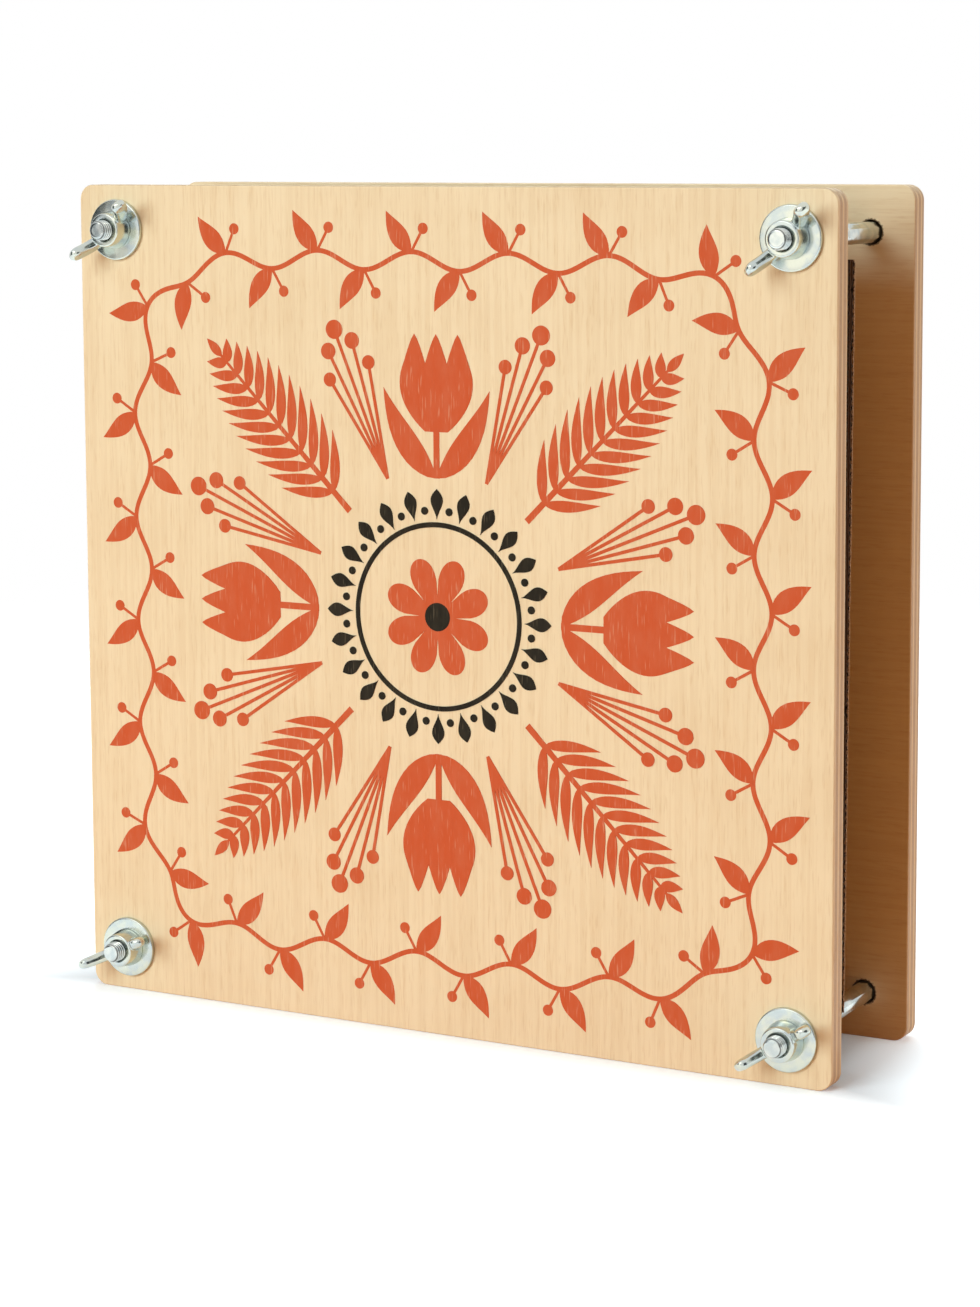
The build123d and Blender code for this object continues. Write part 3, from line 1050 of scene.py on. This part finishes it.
def vine_motifs(design):
    """The leafy frame: a stem that sways about a rounded square, with a blade and a berry at each swing."""
    steps, corner_power = 40, 7
    count = design.vine_waves * steps
    path, normal = square_path(design.vine_half, corner_power, count)
    phase = np.linspace(0, TURN * design.vine_waves, count + 1)
    stem = path + normal * (design.vine_sway * np.sin(phase))[:, None]
    blade = design.blade_size
    blade_lean, stalk_lean = 48, 30
    motifs = [ribbon(stem, 1.2 * MM)]
    for swing in range(2 * design.vine_waves):
        side = 1 if swing % 2 == 0 else -1
        at = swing * steps // 2 + steps // 4
        root = stem[at]
        out = math.degrees(math.atan2(*(normal[at] * side)[::-1]))
        end = root + heading(out - side * stalk_lean) * blade * 0.55
        motifs += [
            leaf(root, out + side * blade_lean, blade, blade * 0.42, side * 0.22),
            ribbon(straight(root, end, 5), 0.7 * MM),
            dot(end, 1.35 * MM),
        ]
    return motifs


def tulip_motifs(design, degrees):
    """A tulip on a short stem between two bent blades, growing outwards from the sun wheel."""
    along = heading(degrees)
    foot = along * (design.ring_radius + 11 * MM)
    neck = along * (design.ring_radius + 23 * MM)
    blade_lean, blade_size, blade_width, bend = 54, 24 * MM, 6.2 * MM, 0.36
    return [
        ribbon(straight(foot, neck, 9), 1.6 * MM),
        tulip_cup(neck - along * MM, degrees, design.tulip_height),
        *(leaf(foot, degrees + side * blade_lean, blade_size, blade_width, side * bend) for side in (1, -1)),
    ]


def fern_motifs(design, degrees):
    """A fern frond: a tapering stem and pairs of leaflets whose length falls towards the tip."""
    along = heading(degrees)
    foot = along * (design.ring_radius + 12 * MM)
    reach = along * design.fern_length
    steps, pairs = 21, 11
    lean, longest, width, bend = 52, 16.0 * MM, 2.7 * MM, 0.14
    motifs = [ribbon(straight(foot, foot + reach, steps), np.linspace(1.6, 0.6, steps) * MM)]
    for share in np.linspace(0.12, 0.94, pairs):
        root = foot + reach * share
        size = longest * math.sin(math.pi * (0.30 + 0.62 * share))
        motifs += [leaf(root, degrees + side * lean, size, width, side * bend, 0.7) for side in (-1, 1)]
    motifs.append(leaf(foot + reach * 0.98, degrees, 6 * MM, 2.4 * MM))
    return motifs


def berry_motifs(design, degrees):
    """Five berries on stalks that fan out between a tulip and a fern."""
    foot = heading(degrees) * (design.ring_radius + 13 * MM)
    motifs = []
    for lean, reach, size in ((-12, 28, 1.7), (-6, 34, 2.0), (0, 38, 2.3), (6, 34, 2.0), (12, 28, 1.7)):
        end = foot + heading(degrees + lean) * reach * MM
        motifs += [ribbon(straight(foot, end, 7), 0.8 * MM), dot(end, size * MM)]
    return motifs


def rosette_motifs(design):
    """The rosette in the ring: eight round petals."""

    def petals(turn):
        """The rosette's radius, which swells eight times in a turn."""
        return design.rosette_radius * (0.34 + 0.66 * np.abs(np.cos(4 * turn)) ** 0.42)

    return [rose((0, 0), 22.5, petals, 192)]


def sun_motifs(design):
    """The black sun wheel: a ring, drops outside it with a bead between each two, and the rosette's eye."""
    ring = design.ring_radius * direction(np.linspace(0, TURN, 241))
    motifs = [ribbon(ring, 1.2 * MM), dot((0, 0), 3.4 * MM)]
    step = 360 / design.ring_drops
    for degrees in np.arange(design.ring_drops) * step:
        root = heading(degrees) * (design.ring_radius + 1.3 * MM)
        bead = heading(degrees + step / 2) * (design.ring_radius + 3.4 * MM)
        motifs += [leaf(root, degrees, 7.2 * MM, 3.3 * MM, 0.0, 1.5), dot(bead, 0.95 * MM)]
    return motifs


class FLOWER_PRESS_OT_print(bpy.types.Operator):
    """Print the folk design on the front board: a vine frame, ferns, tulips, berries and a sun wheel"""

    bl_idname = "flower_press.print"
    bl_label = "Block print"

    def execute(self, context):
        settings = context.scene.flower_press
        ink, design = settings.ink, settings.print
        red = printed_ink("red_ink", ink.red, settings.wood, 0.20)
        black = printed_ink("black_ink", ink.black, settings.wood, 0.08)
        groups = {"print_vine": (vine_motifs(design), red), "print_rosette": (rosette_motifs(design), red)}
        for number, degrees in enumerate((0, 90, 180, 270), 1):
            groups[f"print_tulip_{number}"] = (tulip_motifs(design, degrees), red)
            groups[f"print_fern_{number}"] = (fern_motifs(design, degrees + 45), red)
            berries = berry_motifs(design, degrees + 22.5) + berry_motifs(design, degrees + 67.5)
            groups[f"print_berries_{number}"] = (berries, red)
        groups["print_sun"] = (sun_motifs(design), black)
        layer = 0
        for name, (motifs, tint) in groups.items():
            parts = []
            for face, wrap in motifs:
                layer += 1
                front = FRONT_LOW.y - ink.thickness - layer * ink.layer_step
                parts.append(film_part(face + (0, BOARD_MIDDLE), front, FRONT_LOW.y + ink.sunk, wrap))
            add_piece(name, make_mesh(name, parts), tint, "front_board")
        return {"FINISHED"}


# The stage


def softbox(name, place, aim, side, power, tint):
    """A square area lamp, turned to a point, which metal doesn't mirror: the cards are for that."""
    lamp = bpy.data.lights.new(name, "AREA")
    lamp.shape = "SQUARE"
    lamp.size = side
    lamp.energy = power
    lamp.color = tint
    holder = bpy.data.objects.new(name, lamp)
    holder.location = place
    holder.rotation_euler = (Vector(aim) - Vector(place)).to_track_quat("-Z", "Y").to_euler()
    holder.visible_glossy = False
    bpy.context.scene.collection.objects.link(holder)


def stage_sheet(name, wide, high, material, place=(0, 0, 0), turn=Matrix.Identity(3)):
    """A flat rectangle that belongs to the stage, turned and set in its place."""
    corners = ((-wide, -high, 0), (wide, -high, 0), (wide, high, 0), (-wide, high, 0))
    mesh = bpy.data.meshes.new(name)
    mesh.from_pydata([Vector(place) + turn @ (Vector(corner) / 2) for corner in corners], [], [(0, 1, 2, 3)])
    mesh.materials.append(material)
    sheet = bpy.data.objects.new(name, mesh)
    bpy.context.scene.collection.objects.link(sheet)
    return sheet


def mirror_card(name, place, aim, size, tint, strength):
    """A card outside the picture that only mirrors show, as photographers use to give metal its contrast."""
    graph = Graph(bpy.data.materials.new(name))
    glow = graph.add("ShaderNodeEmission", (), {"Color": (*tint, 1.0), "Strength": strength})
    turn = (Vector(aim) - Vector(place)).to_track_quat("Z", "Y").to_matrix()
    card = stage_sheet(name, *size, graph.close(glow), place, turn)
    card.visible_camera = False
    card.visible_diffuse = False
    card.visible_shadow = False


def seen_directly(graph):
    """1 for rays that show the background: from the camera, or mirrored by metal, or through glass."""
    node = graph.add("ShaderNodeLightPath").socket.node
    names = ("Is Camera Ray", "Is Glossy Ray", "Is Transmission Ray")
    camera, glossy, through = (Wire(graph, node.outputs[name]) for name in names)
    return camera.math("MAXIMUM", glossy).math("MAXIMUM", through)


class FLOWER_PRESS_OT_stage(bpy.types.Operator):
    """Set the floor, the soft lights, the white surroundings and the camera"""

    bl_idname = "flower_press.stage"
    bl_label = "Stage"

    def execute(self, context):
        stage = context.scene.flower_press.stage
        self.lay_floor(stage)
        self.light(stage)
        self.surround(context.scene, stage)
        self.aim_camera(context.scene, stage)
        context.scene.view_settings.view_transform = "Standard"
        return {"FINISHED"}

    def lay_floor(self, stage):
        """A pale floor that glows white for direct rays except beside and under the gap between the boards,
        where the glow is left out so that a deeper shadow is painted there; it fades into the white farther
        off.
        """
        graph = Graph(bpy.data.materials.new("floor_white"))
        direct = seen_directly(graph)
        tint = graph.mix(direct, stage.bounce, stage.floor)
        diffuse = graph.add("ShaderNodeBsdfDiffuse", (), {"Color": tint})
        x, y, _ = graph.split(graph.place())
        # Painted shadow: the floor's white glow is left out beside and under the gap between the boards.
        beside = (abs(x) + y * 0.4 - BOARD_HALF).rise(-15.0 * MM, 24.0 * MM)
        beyond = abs(y - (FRONT_HIGH.y + BACK_LOW.y) / 2) - (BACK_LOW.y - FRONT_HIGH.y) / 2
        glow_outside_shadow_zone = beside.math("MAXIMUM", beyond.rise(-4.0 * MM, 16.0 * MM))
        white = graph.mix(direct * glow_outside_shadow_zone, (0.0, 0.0, 0.0), (1.0, 1.0, 1.0))
        lift = graph.add("ShaderNodeEmission", (), {"Color": white, "Strength": stage.floor_lift})
        both = graph.add("ShaderNodeAddShader", (), {0: diffuse, 1: lift})
        clear = graph.add("ShaderNodeBsdfTransparent")
        far = graph.add("ShaderNodeVectorMath", {"operation": "LENGTH"}, {0: graph.place()}, output="Value")
        faded = graph.add("ShaderNodeMixShader", (), {0: far.rise(0.35, 0.75), 1: both, 2: clear})
        side = 4.0
        stage_sheet("floor", side, side, graph.close(faded))

    def light(self, stage):
        """Softboxes in front, at the right, behind and overhead, and cards for the metal to mirror."""
        aim = (0.0, 0.0, BOARD_MIDDLE)
        for name, place, side, power in (
            ("key", (-0.40, -1.45, 0.58), 1.0, stage.key_power),
            ("rim", (1.25, 0.50, 0.55), 0.8, stage.rim_power),
            ("back", (-0.45, 1.45, 0.60), 1.0, stage.back_power),
            ("overhead", (0.0, 0.25, 1.30), 0.7, stage.top_power),
        ):
            softbox(name, place, aim, side, power, stage.key_tint)
        for name, place, size, tint, strength in (
            ("card_left", (-1.25, -0.81, 0.25), (1.0, 1.0), stage.card_grey, 1.0),
            ("card_right", (1.35, -0.75, 0.30), (0.9, 1.2), stage.card_grey, 1.0),
            ("card_bright", (-0.30, -1.30, 1.05), (1.0, 0.5), stage.card_tint, stage.card_white),
            ("card_level", (-0.42, -1.30, 0.25), (0.5, 0.6), stage.card_tint, stage.card_white / 2),
        ):
            mirror_card(name, place, aim, size, tint, strength)

    def surround(self, scene, stage):
        """Surroundings that look white and give even, warm light."""
        scene.world = bpy.data.worlds.new("studio")
        graph = Graph(scene.world)
        direct = seen_directly(graph)
        strength = direct + (1.0 - direct) * stage.ambient
        tint = graph.mix(direct, stage.shade, (1.0, 1.0, 1.0))
        even = graph.add("ShaderNodeBackground", (), {"Color": tint, "Strength": strength})
        graph.close(even, "ShaderNodeOutputWorld")

    def aim_camera(self, scene, stage):
        """The photograph's camera, with the optical axis a little off the picture's middle."""
        picture_height, sensor = 1307, 36.0
        lens = bpy.data.cameras.new("camera")
        lens.sensor_width = sensor
        lens.lens = stage.focal_pixels / picture_height * sensor
        lens.shift_x = -stage.centre_x / picture_height
        lens.shift_y = -stage.centre_y / picture_height
        lens.clip_start, lens.clip_end = 0.01, 50.0
        sin, cos = math.sin, math.cos
        level = Vector((-sin(stage.yaw), cos(stage.yaw), 0.0))
        forward = level * cos(stage.pitch) - Vector((0.0, 0.0, sin(stage.pitch)))
        right = Vector((cos(stage.yaw), sin(stage.yaw), 0.0))
        down = forward.cross(right)
        across = right * cos(stage.roll) + down * sin(stage.roll)
        up = right * sin(stage.roll) - down * cos(stage.roll)
        camera = bpy.data.objects.new("camera", lens)
        turn = Matrix((across, up, -forward)).transposed().to_4x4()
        camera.matrix_world = Matrix.Translation(Vector(stage.eye)) @ turn
        scene.collection.objects.link(camera)
        scene.camera = camera


# The panel and the classes' registration


class FLOWER_PRESS_PT_sidebar(bpy.types.Panel):
    """Lists the press's pieces and its settings"""

    bl_idname = "FLOWER_PRESS_PT_sidebar"
    bl_label = "Flower press"
    bl_space_type = "VIEW_3D"
    bl_region_type = "UI"
    bl_category = "Flower press"

    def draw(self, context):
        layout = self.layout
        for operator in OPERATORS:
            layout.operator(operator.bl_idname)
        settings = context.scene.flower_press
        for group in PressSettings.__annotations__:
            box = layout.box()
            box.label(text=group.capitalize())
            part = getattr(settings, group)
            for name in part.__annotations__:
                box.prop(part, name)


SETTINGS = (
    WoodSettings,
    InkSettings,
    MetalSettings,
    SheetSettings,
    PrintSettings,
    StageSettings,
    PressSettings,
)
OPERATORS = (
    FLOWER_PRESS_OT_boards,
    FLOWER_PRESS_OT_bolts,
    FLOWER_PRESS_OT_washers,
    FLOWER_PRESS_OT_wing_nuts,
    FLOWER_PRESS_OT_cards,
    FLOWER_PRESS_OT_blotters,
    FLOWER_PRESS_OT_print,
    FLOWER_PRESS_OT_stage,
)
CLASSES = (*SETTINGS, *OPERATORS, FLOWER_PRESS_PT_sidebar)


def register():
    """Makes the classes and the scene's settings known to Blender."""
    for each in CLASSES:
        bpy.utils.register_class(each)
    bpy.types.Scene.flower_press = PointerProperty(type=PressSettings)


def unregister():
    """Undoes register."""
    del bpy.types.Scene.flower_press
    for each in reversed(CLASSES):
        bpy.utils.unregister_class(each)


def main():
    """Builds every piece in order."""
    register()
    bpy.ops.flower_press.boards()
    bpy.ops.flower_press.bolts()
    bpy.ops.flower_press.washers()
    bpy.ops.flower_press.wing_nuts()
    bpy.ops.flower_press.cards()
    bpy.ops.flower_press.blotters()
    bpy.ops.flower_press.print()
    bpy.ops.flower_press.stage()


if __name__ == "__main__":
    main()
